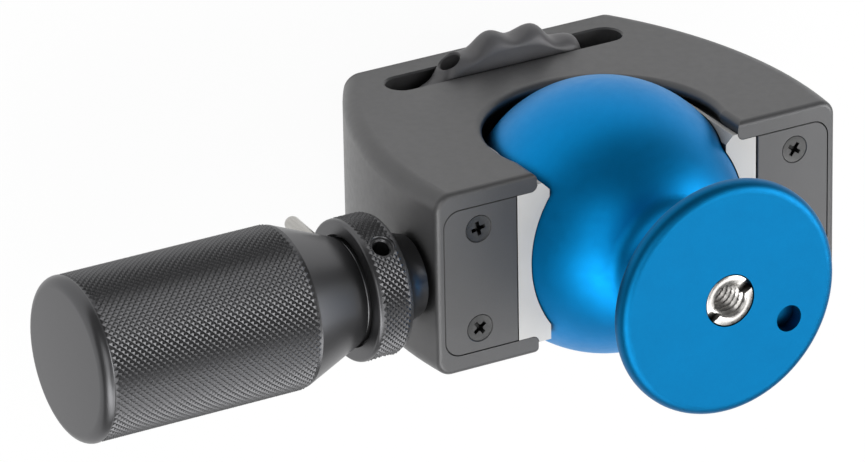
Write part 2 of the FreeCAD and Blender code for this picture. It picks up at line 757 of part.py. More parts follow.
# Knurled ring with its flared hub, nose and recess
def friction_ring():
    nose_outer = RING_RADIUS - RING_NOSE / 2
    nose_start = RING_KNURL_START + RING_KNURL_LENGTH
    nose_middle = (RING_RADIUS - RING_NOSE * 0.18, nose_start + RING_NOSE * 0.66)
    hub_middle = (
        (RING_HUB_RADIUS + RING_INNER_EDGE_RADIUS) / 2 - 0.7,
        RING_START + RING_HUB_LENGTH * 0.62,
    )
    ring = turned(
        (SLEEVE_RADIUS, RING_START),
        [
            (RING_HUB_RADIUS, RING_START),
            (hub_middle, (RING_INNER_EDGE_RADIUS, RING_KNURL_START)),
            (RING_RADIUS, RING_KNURL_START + RING_RADIUS - RING_INNER_EDGE_RADIUS),
            (RING_RADIUS, nose_start),
            (nose_middle, (nose_outer - RING_NOSE / 4, RING_END)),
            (RING_RECESS_RADIUS, RING_END),
            (RING_RECESS_RADIUS, RECESS_FLOOR),
            (SLEEVE_RADIUS, RECESS_FLOOR),
        ],
    )
    for pin in key_pins(SLEEVE_RADIUS, RECESS_FLOOR):
        ring = ring.cut(pin)
    ring = along_clamp(ring)
    floor = RING_RADIUS - RING_HOLE_DEPTH
    for turn in ring_hole_turns():
        hole = rod(PIN_RADIUS + JOURNAL_FIT, floor, RING_RADIUS + 1)
        spot = rod(RING_SPOT_RADIUS, RING_RADIUS - RING_SPOT_DEPTH, RING_RADIUS + 1)
        ring = ring.cut(radial(hole.fuse(spot), turn))
    return ring


def key_pins(reach, top):
    """Two axial pins, half in the outer and half in the inner piece."""
    pins = []
    for side in (-1, 1):
        pin = rod(KEY_PIN_RADIUS, top - KEY_PIN_LENGTH, top)
        pin.translate(V(0, side * reach, 0))
        pins.append(pin)
    return pins


# Hollow screw under the friction ring
def friction_sleeve():
    bore = SPINDLE_RADIUS + THREAD_FIT
    sleeve = turned(
        (bore, SLEEVE_START),
        [
            (SLEEVE_RADIUS - EDGE_BREAK, SLEEVE_START),
            (SLEEVE_RADIUS, SLEEVE_START + EDGE_BREAK),
            (SLEEVE_RADIUS, RECESS_FLOOR),
            (bore, RECESS_FLOOR),
        ],
    )
    for pin in key_pins(SLEEVE_RADIUS, RECESS_FLOOR):
        sleeve = sleeve.cut(pin)
    return along_clamp(sleeve)


# Axial pins that lock the ring on the sleeve
def ring_key_pins():
    return along_clamp(Part.makeCompound(key_pins(SLEEVE_RADIUS, RECESS_FLOOR)))


# Thrust washer in the ring's recess
def grip_washer():
    washer = rod(WASHER_RADIUS, RECESS_FLOOR, RECESS_FLOOR + WASHER_THICKNESS)
    hole = rod(SPINDLE_RADIUS + SLIDE_FIT, RECESS_FLOOR - 1, NECK_START)
    return along_clamp(washer.cut(hole))


# Stack of disc springs in front of the sleeve, cupped in turn
def disc_springs():
    springs = []
    for number in range(SPRING_COUNT):
        low = SPRING_START + number * SPRING_PITCH
        inner, outer = (SPRING_RISE, 0) if number % 2 else (0, SPRING_RISE)
        spring = turned(
            (SPRING_BORE_RADIUS, low + inner),
            [
                (SPRING_RADIUS, low + outer),
                (SPRING_RADIUS, low + outer + SPRING_SHEET),
                (SPRING_BORE_RADIUS, low + inner + SPRING_SHEET),
            ],
        )
        springs.append(along_clamp(spring))
    return Part.makeCompound(springs)


def thrust_centre():
    return JAW_BACK + THRUST_GAP + THRUST_BALL_RADIUS


# Steel ball at the spindle's tip
def thrust_ball():
    return along_clamp(Part.makeSphere(THRUST_BALL_RADIUS, V(0, 0, thrust_centre())))


# Spindle: pilot through the springs, thread through the sleeve, root in the grip
def clamp_spindle():
    tip = JAW_BACK + THRUST_BALL_RADIUS * 0.8
    thread_start = SLEEVE_START + EDGE_BREAK
    thread_end = NECK_START + SPINDLE_GRIP_DEPTH
    spindle = turned(
        (0, tip),
        [
            (PILOT_RADIUS, tip),
            (PILOT_RADIUS, thread_start),
            (SPINDLE_RADIUS, thread_start + SPINDLE_RADIUS - PILOT_RADIUS),
            (SPINDLE_RADIUS, thread_end),
            (0, thread_end),
        ],
    )
    cup = Part.makeSphere(THRUST_BALL_RADIUS, V(0, 0, thrust_centre()))
    spindle = spindle.cut(cup).cut(grip_pin_blank())
    return along_clamp(spindle)


def grip_pin_blank():
    pin = rod(KEY_PIN_RADIUS, NECK_START, NECK_START + KEY_PIN_LENGTH)
    pin.translate(V(0, SPINDLE_RADIUS, 0))
    return pin


# Axial pin that locks the grip on the spindle
def grip_key_pin():
    return along_clamp(grip_pin_blank())


# Knurled grip with its cone and neck
def clamp_grip():
    end = (GRIP_RADIUS - GRIP_END_ROUND, GRIP_END - GRIP_END_ROUND)
    root = NECK_START + SPINDLE_GRIP_DEPTH + SLIDE_FIT
    grip = turned(
        (SPINDLE_RADIUS, NECK_START),
        [
            (GRIP_NECK_RADIUS, NECK_START),
            (GRIP_NECK_RADIUS, CONE_START),
            (GRIP_CONE_FOOT_RADIUS, CONE_START),
            (GRIP_RADIUS, KNURL_START),
            (GRIP_RADIUS, end[1]),
            (arc_middle(end, GRIP_END_ROUND, 45), (end[0], GRIP_END)),
            (0, GRIP_END),
            (0, root),
            (SPINDLE_RADIUS, root),
        ],
    )
    return along_clamp(grip.cut(grip_pin_blank()))


# Round-ended bar in one of the ring's holes
def tommy_pin():
    foot = RING_RADIUS - RING_HOLE_DEPTH + SLIDE_FIT
    dome = PIN_REACH - PIN_RADIUS
    pin = turned(
        (0, foot),
        [
            (PIN_RADIUS - EDGE_BREAK, foot),
            (PIN_RADIUS, foot + EDGE_BREAK),
            (PIN_RADIUS, dome),
            (arc_middle((0, dome), PIN_RADIUS, 45), (0, PIN_REACH)),
        ],
    )
    second_hole = ring_hole_turns()[1]
    return radial(pin, second_hole)


PIECES = {
    "housing": housing,
    "near_jaw": lambda: jaw(1, SLIDE_FIT),
    "far_jaw": lambda: jaw(-1, FAR_JAW_GAP),
    "near_cover_plate": lambda: cover_plate(1),
    "far_cover_plate": lambda: cover_plate(-1),
    "near_cover_screws": lambda: cover_screws(1),
    "far_cover_screws": lambda: cover_screws(-1),
    "far_jaw_shim": far_jaw_shim,
    "ball": ball,
    "platform": platform,
    "platform_bolt": platform_bolt,
    "camera_thread_bush": camera_thread_bush,
    "mounting_wheel": mounting_wheel,
    "wheel_thread_bush": wheel_thread_bush,
    "pressure_plate": pressure_plate,
    "friction_ring": friction_ring,
    "friction_sleeve": friction_sleeve,
    "ring_key_pins": ring_key_pins,
    "grip_washer": grip_washer,
    "disc_springs": disc_springs,
    "thrust_ball": thrust_ball,
    "clamp_spindle": clamp_spindle,
    "grip_key_pin": grip_key_pin,
    "clamp_grip": clamp_grip,
    "tommy_pin": tommy_pin,
}

os.makedirs("parts", exist_ok=True)
for node, make in PIECES.items():
    shape = make()
    print(node, shape.isValid(), len(shape.Solids), round(shape.Volume, 1))
    shape.exportStep("parts/" + node + ".step")
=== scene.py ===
# Looks of a tripod ball head: turned and knurled pieces, anodised and steel finishes,
# and the studio it stands in. Lengths are in metres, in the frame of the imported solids.
import json
import math

import bmesh
import bpy
import numpy as np
from mathutils import Matrix, Vector


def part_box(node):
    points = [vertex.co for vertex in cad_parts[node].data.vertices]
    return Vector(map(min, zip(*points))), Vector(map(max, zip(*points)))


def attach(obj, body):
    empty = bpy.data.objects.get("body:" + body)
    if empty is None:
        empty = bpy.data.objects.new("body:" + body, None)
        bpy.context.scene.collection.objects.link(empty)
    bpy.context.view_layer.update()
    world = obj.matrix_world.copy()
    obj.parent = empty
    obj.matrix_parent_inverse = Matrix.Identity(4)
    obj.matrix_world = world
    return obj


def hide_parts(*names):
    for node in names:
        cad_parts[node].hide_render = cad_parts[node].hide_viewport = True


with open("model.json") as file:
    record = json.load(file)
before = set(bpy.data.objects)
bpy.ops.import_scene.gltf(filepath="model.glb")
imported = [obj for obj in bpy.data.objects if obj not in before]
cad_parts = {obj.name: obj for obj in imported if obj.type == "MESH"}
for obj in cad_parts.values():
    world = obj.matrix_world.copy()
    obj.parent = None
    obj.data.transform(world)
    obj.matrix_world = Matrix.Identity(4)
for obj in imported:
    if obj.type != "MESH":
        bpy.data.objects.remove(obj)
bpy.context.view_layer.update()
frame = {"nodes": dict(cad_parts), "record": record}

bl_info = {
    "name": "Ball head workshop",
    "version": (1, 0, 0),
    "blender": (4, 5, 0),
    "location": "View3D > Sidebar > Ball head",
    "description": "Turns, knurls and finishes the pieces of a tripod ball head",
    "category": "Object",
}

MM = 0.001

# Clamp axis: level, along +X, at the height of the grip's middle
GRIP_LOW, GRIP_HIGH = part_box("clamp_grip")
RING_LOW, RING_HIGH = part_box("friction_ring")
BUSH_LOW, BUSH_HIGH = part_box("camera_thread_bush")
CLAMP_HEIGHT = (GRIP_LOW.z + GRIP_HIGH.z) / 2
GRIP_RADIUS = (GRIP_HIGH.y - GRIP_LOW.y) / 2
RING_RADIUS = (RING_HIGH.y - RING_LOW.y) / 2
BUSH_RADIUS = (BUSH_HIGH.y - BUSH_LOW.y) / 2

# Segments round a smooth turned piece
ROUND_STEPS = 96

# Grip, lengths along the clamp axis
GRIP_NECK_RADIUS = 9.5 * MM
GRIP_NECK_LENGTH = 1.4 * MM
GRIP_CONE_FOOT_RADIUS = 9.9 * MM
GRIP_CONE_LENGTH = 11.9 * MM
GRIP_CONE_FOOT_ROUND = 0.6 * MM
GRIP_CORE_RADIUS = 3.0 * MM
GRIP_CORE_DEPTH = 22.1 * MM
GRIP_BARE_END = 0.35 * MM

# Friction ring
RING_HUB_RADIUS = 7.45 * MM
RING_HUB_LENGTH = 5.75 * MM
RING_INNER_EDGE_RADIUS = 12.4 * MM
RING_KNURL_LENGTH = 6.1 * MM
RING_NOSE = 0.9 * MM
RING_RECESS_RADIUS = 10.1 * MM
RING_RECESS_DEPTH = 2.0 * MM
RING_BORE_RADIUS = 5.0 * MM
RING_HOLE_TURNS = (56.0, 176.0, 296.0)
RING_HOLE_RADIUS = 1.5 * MM
RING_SPOT_RADIUS = 2.3 * MM
RING_SPOT_DEPTH = 0.85 * MM
RING_HOLE_DEPTH = 5.2 * MM

# Camera bush
BUSH_MINOR_RADIUS = 2.6 * MM
BUSH_BODY_RADIUS = 4.76 * MM
BUSH_LIP_CLEARANCE = 0.12 * MM
BUSH_LIP = 1.2 * MM
BUSH_LIP_CHAMFER = 0.15 * MM
BUSH_THREAD_ROWS = 150
BUSH_MOUTH = 0.65 * MM
BUSH_SLOT_WIDTH = 2.2 * MM
BUSH_SLOT_DEPTH = 1.4 * MM
BUSH_SLOT_TURN = 31.5

# Countersunk cover screws
SCREW_HEAD_RADIUS = 2.55 * MM
SCREW_SHANK_RADIUS = 1.25 * MM
SCREW_HEAD_HEIGHT = 1.35 * MM
SCREW_EDGE = 0.12 * MM
SCREW_DISH = 0.05 * MM
SCREW_TURNS = {"near_cover_screws": (12.0, 38.0), "far_cover_screws": (55.0, 20.0)}
CROSS_REACH = 1.65 * MM
CROSS_FOOT = 0.7 * MM
CROSS_WIDTH = 0.8 * MM
CROSS_DEPTH = 1.15 * MM
CROSS_HUB_RADIUS = 0.75 * MM

# Mounting wheel: lobes that fade into round faces
WHEEL_LOW, WHEEL_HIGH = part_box("mounting_wheel")
WHEEL_RADIUS = 23.8 * MM
WHEEL_FACE_RADIUS = 20.5 * MM
WHEEL_BORE_RADIUS = 7.5 * MM
WHEEL_LOBES = 16
WHEEL_STEPS_PER_LOBE = 14
WHEEL_ROWS = 28
WHEEL_SCOOP_DEPTH = 1.7 * MM
WHEEL_BELLY = 1.1
WHEEL_HOLE_TURN = -59.5
WHEEL_HOLES = 4
WHEEL_HOLE_RADIUS = 2.0 * MM
WHEEL_HOLE_DEPTH = 8.0 * MM
WHEEL_SPOT_RADIUS = 2.6 * MM
WHEEL_SPOT_DEPTH = 1.1 * MM

# Camera of the photograph: a long lens from above, on the handle's side
CAMERA_AIM = Vector((27.3, 2.3, 30.0)) * MM
CAMERA_DISTANCE = 1.2327
CAMERA_TURN = -43.203
CAMERA_RISE = 52.650
CAMERA_ROLL = 125.678
SENSOR_WIDTH = 36.0

# Softboxes: turn about the part, rise above the floor, and power in watts. A fit of
# single-light renders to the photograph gave them, but for the second one's power.
LAMP_AIM = Vector((0.02, 0, 0.04))
LAMP_DISTANCE = 1.3
FLOOR_WHITE = 0.96
SOFTBOX_WIDTH = 0.8
SOFTBOXES = (
    ("handle_softbox", -25, 60, 3.2),
    ("far_corner_softbox", 135, 60, 3.0),
    ("far_side_softbox", 180, 40, 10.7),
    ("back_corner_softbox", 45, 50, 7.9),
    ("back_softbox", 90, 45, 5.1),
)
FLOOR_REACH = 3.0
FLOOR_PALE = (0.83, 0.83, 0.83)
FLOOR_SHADE = (0.80, 0.80, 0.80)

# Fine structure of the finishes, as noise scales per metre
CLOUD_SCALE = 160
SPECK_SCALE = 5200
SHEEN_SCALE = 700
BLAST_SCALE = 4200
FLOW_SCALE = 90
SKIN_SCALE = 2600
TOOL_LINE_SCALE = 2400

# Flat faces: edges past this angle in degrees stay hard, and large faces lead
HARD_EDGE_ANGLE = 28
LARGE_FACE_WEIGHT = 100

# Drilled holes: broken edge of the hole and of its spot face
HOLE_EDGE_DROP = 0.35 * MM
HOLE_EDGE_WIDTH = 0.25 * MM
SPOT_EDGE_WIDTH = 0.15 * MM
SPOT_EDGE_RISE = 0.02 * MM
SPOT_WALL_FOOT = 0.2 * MM


def clamp_axis():
    """Placing of a piece made about Z onto the clamp axis."""
    return Matrix.Translation((0, 0, CLAMP_HEIGHT)) @ Matrix.Rotation(math.pi / 2, 4, "Y")


def arc(centre, radius, start, end, steps):
    """Points of an arc in a (radius, along) outline, angles in degrees."""
    points = []
    for step in range(steps + 1):
        angle = math.radians(start + (end - start) * step / steps)
        points.append(
            (centre[0] + radius * math.cos(angle), centre[1] + radius * math.sin(angle))
        )
    return points


def bend(start, middle, end, steps):
    """Points of a smooth quadratic bend that passes near its middle point."""
    points = []
    for step in range(steps + 1):
        t = step / steps
        points.append(
            tuple(
                (1 - t) ** 2 * a + 2 * t * (1 - t) * b + t ** 2 * c
                for a, b, c in zip(start, middle, end)
            )
        )
    return points


def outward(turn, rise):
    """Direction away from the part, from its turn about Z and its rise in degrees."""
    turn = math.radians(turn)
    rise = math.radians(rise)
    level = math.cos(rise)
    return Vector((level * math.cos(turn), level * math.sin(turn), math.sin(rise)))


class Skin:
    """Points and faces of one closed skin, grown ring by ring about Z."""

    def __init__(self, steps):
        self.steps = steps
        self.points = []
        self.faces = []

    def add(self, angle, radius, along):
        self.points.append((radius * math.cos(angle), radius * math.sin(angle), along))
        return len(self.points) - 1

    def ring(self, radius, along, half_turned=False):
        shift = 0.5 if half_turned else 0.0
        return [
            self.add(2 * math.pi * (step + shift) / self.steps, radius, along)
            for step in range(self.steps)
        ]

    def pole(self, along):
        return self.add(0, 0, along)

    def bridge(self, low, high):
        for step in range(self.steps):
            after = (step + 1) % self.steps
            self.faces.append((low[step], low[after], high[after], high[step]))

    def cap(self, ring, pole, upward):
        for step in range(self.steps):
            pair = (ring[step], ring[(step + 1) % self.steps])
            self.faces.append((*pair, pole) if upward else (*pair[::-1], pole))

    def sweep(self, outline, before=None):
        """Rings along an outline, each joined to the one before it; returns the last."""
        for radius, along in outline:
            here = self.ring(radius, along)
            if before is not None:
                self.bridge(before, here)
            before = here
        return before

    def knurl(self, first, radius, start, length, pitch, depth):
        """Band of crossed grooves that leave pointed diamonds; returns its last ring."""
        rows = 2 * max(1, round(length / pitch))
        rings = [first]
        for row in range(1, rows + 1):
            along = start + length * row / rows
            rings.append(self.ring(radius - depth, along, half_turned=row % 2 == 1))
        half_step = math.pi / self.steps
        for row in range(rows + 1):
            along = start + length * row / rows
            for step in range(self.steps):
                after = (step + 1) % self.steps
                beside = after if row % 2 else step
                left = rings[row][step]
                right = rings[row][after]
                if row == 0:
                    self.faces.append((left, right, rings[1][beside]))
                elif row == rows:
                    self.faces.append((right, left, rings[row - 1][beside]))
                else:
                    angle = half_step * (2 * step + 1 + row % 2)
                    tip = self.add(angle, radius, along)
                    below = rings[row - 1][beside]
                    above = rings[row + 1][beside]
                    self.faces.append((below, right, tip))
                    self.faces.append((right, above, tip))
                    self.faces.append((above, left, tip))
                    self.faces.append((left, below, tip))
        return rings[-1]


def piece(name, points, faces, place=None, sharp=32):
    """New object from points and faces, shaded smooth but for edges past a sharp angle."""
    mesh = bpy.data.meshes.new(name)
    mesh.from_pydata(points, [], faces)
    if place is not None:
        mesh.transform(place)
    shell = bmesh.new()
    shell.from_mesh(mesh)
    bmesh.ops.recalc_face_normals(shell, faces=shell.faces)
    shell.to_mesh(mesh)
    shell.free()
    obj = bpy.data.objects.new(name, mesh)
    bpy.context.scene.collection.objects.link(obj)
    shade(mesh, sharp)
    return obj


def shade(mesh, sharp):
    mesh.polygons.foreach_set("use_smooth", [True] * len(mesh.polygons))
    mesh.set_sharp_from_angle(angle=math.radians(sharp))
    mesh.update()


def carve(obj, cutters, sharp=32):
    """Cut tools out of a piece and leave one plain mesh."""
    for cutter in cutters:
        cut = obj.modifiers.new("cut", "BOOLEAN")
        cut.operation = "DIFFERENCE"
        cut.solver = "EXACT"
        cut.object = cutter
    bpy.context.view_layer.update()
    evaluated = obj.evaluated_get(bpy.context.evaluated_depsgraph_get())
    mesh = bpy.data.meshes.new_from_object(evaluated)
    obj.modifiers.clear()
    old = obj.data
    obj.data = mesh
    mesh.name = obj.name
    bpy.data.meshes.remove(old)
    shade(mesh, sharp)
    for cutter in cutters:
        shape = cutter.data
        bpy.data.objects.remove(cutter)
        bpy.data.meshes.remove(shape)
    return obj


def turned_tool(name, outline, place, steps=48):
    """Closed turned cutter from an outline that starts and ends on its axis."""
    skin = Skin(steps)
    foot = skin.pole(outline[0][1])
    low = skin.ring(*outline[1])
    skin.cap(low, foot, False)
    high = skin.sweep(outline[2:-1], low)
    skin.cap(high, skin.pole(outline[-1][1]), True)
    return piece(name, skin.points, skin.faces, place)


def drill(sizes, floor, spot, out, place):
    """Cutter for a round hole with a broken edge in a flat bottomed spot."""
    hole, face = sizes
    outline = [
        (0, floor),
        (hole, floor),
        (hole, spot - HOLE_EDGE_DROP),
        (hole + HOLE_EDGE_WIDTH, spot),
        (face - SPOT_EDGE_WIDTH, spot + SPOT_EDGE_RISE),
        (face, spot + SPOT_WALL_FOOT),
        (face, out),
        (0, out),
    ]
    return turned_tool("drill", outline, place)


def prism_tool(name, foot, top, place):
    """Cutter between two rectangles: (half length, half width, height) each."""
    points = []
    for length, width, height in (foot, top):
        for x, y in ((-1, -1), (1, -1), (1, 1), (-1, 1)):
            points.append((x * length, y * width, height))
    faces = [(3, 2, 1, 0), (4, 5, 6, 7)]
    for side in range(4):
        after = (side + 1) % 4
        faces.append((side, after, after + 4, side + 4))
    return piece(name, points, faces, place)


def stand_for(obj, node):
    """The piece takes a solid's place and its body."""
    body = next(
        name for name, nodes in frame["record"]["behaviour"]["bodies"].items() if node in nodes
    )
    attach(obj, body)
    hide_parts(node)
    return obj


def even_shading(obj):
    """Flat faces shade flat, whatever small faces touch them."""
    split = obj.modifiers.new("hard_edges", "EDGE_SPLIT")
    split.split_angle = math.radians(HARD_EDGE_ANGLE)
    even = obj.modifiers.new("even_shading", "WEIGHTED_NORMAL")
    even.weight = LARGE_FACE_WEIGHT
    even.keep_sharp = True


def dress(obj, material):
    """One finish over the whole piece."""
    if obj.material_slots:
        for slot in obj.material_slots:
            slot.material = material
    else:
        obj.data.materials.append(material)


class Finish:
    """Small helper that lays out the nodes of one finish."""

    def __init__(self, name):
        self.material = bpy.data.materials.new(name)
        self.material.use_nodes = True
        self.nodes = self.material.node_tree.nodes
        self.links = self.material.node_tree.links
        self.shader = self.nodes["Principled BSDF"]
        self.place = self.nodes.new("ShaderNodeTexCoord").outputs["Object"]

    def noise(self, scale, detail=2.0, stretch=(1, 1, 1)):
        where = self.place
        if stretch != (1, 1, 1):
            mapping = self.nodes.new("ShaderNodeMapping")
            mapping.inputs["Scale"].default_value = stretch
            self.links.new(where, mapping.inputs["Vector"])
            where = mapping.outputs["Vector"]
        noise = self.nodes.new("ShaderNodeTexNoise")
        noise.inputs["Scale"].default_value = scale
        noise.inputs["Detail"].default_value = detail
        self.links.new(where, noise.inputs["Vector"])
        return noise.outputs["Fac"]

    def spread(self, value, low, high, start=0.3, end=0.7):
        band = self.nodes.new("ShaderNodeMapRange")
        band.inputs["From Min"].default_value = start
        band.inputs["From Max"].default_value = end
        band.inputs["To Min"].default_value = low
        band.inputs["To Max"].default_value = high
        self.links.new(value, band.inputs["Value"])
        return band.outputs["Result"]

    def blend(self, factor, first, second):
        mix = self.nodes.new("ShaderNodeMix")
        mix.data_type = "RGBA"
        self.links.new(factor, mix.inputs["Factor"])
        for value, socket in ((first, mix.inputs["A"]), (second, mix.inputs["B"])):
            if hasattr(value, "links"):
                self.links.new(value, socket)
            else:
                socket.default_value = (*value[:3], 1)
        return mix.outputs["Result"]

    def colour(self, value):
        self.links.new(value, self.shader.inputs["Base Color"])

    def rough(self, value):
        self.links.new(value, self.shader.inputs["Roughness"])

    def grain(self, height, depth, strength=1.0):
        bump = self.nodes.new("ShaderNodeBump")
        bump.inputs["Distance"].default_value = depth
        bump.inputs["Strength"].default_value = strength
        self.links.new(height, bump.inputs["Height"])
        self.links.new(bump.outputs["Normal"], self.shader.inputs["Normal"])

    def painted_shade_in_hollows(self, tone, reach, painted_shade_colour, start=0.35, end=0.8):
        """Painted shade: a darker tone where the surface is shut in, as in holes and gaps."""
        shut = self.nodes.new("ShaderNodeAmbientOcclusion")
        shut.samples = 8
        shut.inputs["Distance"].default_value = reach
        return self.blend(self.spread(shut.outputs["AO"], 0, 1, start, end), painted_shade_colour, tone)


def shade_of(colour, factor):
    return tuple(min(1.0, channel * factor) for channel in colour[:3])


def anodised(name, colour, metallic, roughness, grain_depth):
    """Bead blasted and anodised aluminium: cloudy tone, fine grain and painted shade in holes and gaps."""
    finish = Finish(name)
    tone = finish.blend(
        finish.spread(finish.noise(CLOUD_SCALE, 4), 0, 1), shade_of(colour, 0.975), shade_of(colour, 1.025)
    )
    speck = finish.spread(finish.noise(SPECK_SCALE, 1), 0, 0.10, 0.35, 0.75)
    tone = finish.blend(speck, tone, shade_of(colour, 1.6))
    # Painted shade in holes and gaps: the tone darkens towards 0.12 of the colour where the surface is
    # shut in within 3 mm.
    finish.colour(finish.painted_shade_in_hollows(tone, 3 * MM, shade_of(colour, 0.12)))
    finish.rough(finish.spread(finish.noise(SHEEN_SCALE, 3), roughness - 0.03, roughness + 0.03))
    finish.shader.inputs["Metallic"].default_value = metallic
    finish.grain(finish.noise(BLAST_SCALE, 2), grain_depth)
    return finish.material


def moulded(name, colour, roughness):
    """Moulded plastic with a faint flow, a fine skin and painted shade in holes and gaps."""
    finish = Finish(name)
    flow = finish.spread(finish.noise(FLOW_SCALE, 3, (1, 1, 3)), 0, 1)
    tone = finish.blend(flow, shade_of(colour, 0.95), shade_of(colour, 1.03))
    # Painted shade in gaps and holes: the tone darkens towards 0.1 of the colour where the surface is shut
    # in within 6 mm.
    finish.colour(finish.painted_shade_in_hollows(tone, 6 * MM, shade_of(colour, 0.1), 0.4, 0.75))
    finish.rough(finish.spread(finish.noise(900, 2), roughness - 0.05, roughness + 0.05))
    finish.grain(finish.noise(SKIN_SCALE, 3), 6e-6)
    return finish.material


def steel(name, colour, roughness, stretch, depth, metallic=1.0):
    """Turned or ground steel with fine tool lines along one way and painted shade in holes and gaps."""
    finish = Finish(name)
    lines = finish.noise(TOOL_LINE_SCALE, 2, stretch)
    tone = finish.blend(
        finish.spread(lines, 0, 1), shade_of(colour, 0.9), shade_of(colour, 1.06)
    )
    # Painted shade in holes and gaps: the tone darkens towards 0.06 of the colour where the surface is
    # shut in within 3 mm.
    finish.colour(finish.painted_shade_in_hollows(tone, 3 * MM, shade_of(colour, 0.06), 0.3, 0.8))
    finish.rough(finish.spread(finish.noise(1500, 2), roughness - 0.05, roughness + 0.07))
    finish.shader.inputs["Metallic"].default_value = metallic
    finish.grain(lines, depth)
    return finish.material


def colour_property(name, description, default):
    return bpy.props.FloatVectorProperty(
        name=name,
        description=description,
        subtype="COLOR",
        size=3,
        min=0.0,
        max=1.0,
        default=default,
    )


def length_property(name, description, default):
    return bpy.props.FloatProperty(
        name=name,
        description=description,
        default=default,
        min=0.0,
        precision=5,
        unit="LENGTH",
    )


class BallHeadSizes(bpy.types.PropertyGroup):
    """Sizes that the shop may change."""

    knurl_pitch: length_property("Knurl pitch", "Length of one diamond", 1.2 * MM)
    knurl_depth: length_property("Knurl depth", "Depth of the crossed grooves", 0.34 * MM)
    grip_end_round: length_property("Grip end round", "Radius of the grip's end edge", 2.0 * MM)
    camera_pitch: length_property("Camera pitch", "Pitch of the camera thread", 1.27 * MM)
    camera_major: length_property("Camera radius", "Outer radius of its thread", 3.175 * MM)
    edge_break: length_property("Edge break", "Small chamfer on turned edges", 0.25 * MM)


class BallHeadColours(bpy.types.PropertyGroup):
    """Colours of the finishes."""

    housing: colour_property("Housing", "Grey anodised body", (0.100, 0.100, 0.102))
    wheel: colour_property("Wheel", "Grey anodised wheel", (0.150, 0.148, 0.153))
    # Ball and platform are the same blue anodised metal; the platform's colour is a darker copy of the
    # ball's, painted shade that tones down its upward face, which the lamps light more than the ball.
    ball: colour_property("Ball", "Blue anodised ball", (0.000, 0.250, 0.610))
    platform: colour_property("Platform", "Blue anodised platform", (0.000, 0.140, 0.330))
    jaw: colour_property("Jaw", "Pale plastic jaws", (0.640, 0.630, 0.610))
    screw: colour_property("Screw", "Blackened steel", (0.083, 0.083, 0.083))
    plated: colour_property("Plated", "Bright plated steel", (0.635, 0.617, 0.592))
    ground: colour_property("Ground", "Ground steel", (0.44, 0.43, 0.41))


class BallHeadStudio(bpy.types.PropertyGroup):
    """Camera and light."""

    focal_length: bpy.props.FloatProperty(
        name="Focal length",
        description="Lens of the photograph on a 36 mm sensor",
        default=286.64,
        unit="CAMERA",
    )
    surround: bpy.props.FloatProperty(
        name="Surround",
        description="Level of the even light all round",
        default=0.15,
        min=0.0,
        subtype="FACTOR",
    )


class PieceOperator(bpy.types.Operator):
    """Shared base of the shop's operators"""

    bl_options = {"REGISTER", "UNDO"}

    def sizes(self, context):
        return context.scene.ball_head_sizes

    def colours(self, context):
        return context.scene.ball_head_colours


class BALLHEAD_OT_housing(PieceOperator):
    """Finish the housing, its cover plates and the jaws"""

    bl_idname = "ball_head.housing"
    bl_label = "Housing, plates and jaws"

    def execute(self, context):
        colours = self.colours(context)
        grey = anodised("housing_anodised", colours.housing, 0.3, 0.40, 0.8e-5)
        for node in ("housing", "near_cover_plate", "far_cover_plate"):
            dress(frame["nodes"][node], grey)
            even_shading(frame["nodes"][node])
        pale = moulded("jaw_plastic", colours.jaw, 0.50)
        for node in ("near_jaw", "far_jaw"):
            dress(frame["nodes"][node], pale)
            even_shading(frame["nodes"][node])
        return {"FINISHED"}


class BALLHEAD_OT_ball(PieceOperator):
    """Finish the ball and the camera platform"""

    bl_idname = "ball_head.ball"
    bl_label = "Ball and platform"

    def execute(self, context):
        colours = self.colours(context)
        # Same blue metal on both; the platform's darker copy of the colour is painted shade.
        for node, colour in (("ball", colours.ball), ("platform", colours.platform)):
            blue = anodised(f"{node}_anodised", colour, 0.92, 0.46, 0.5e-5)
            dress(frame["nodes"][node], blue)
        even_shading(frame["nodes"]["platform"])
        return {"FINISHED"}


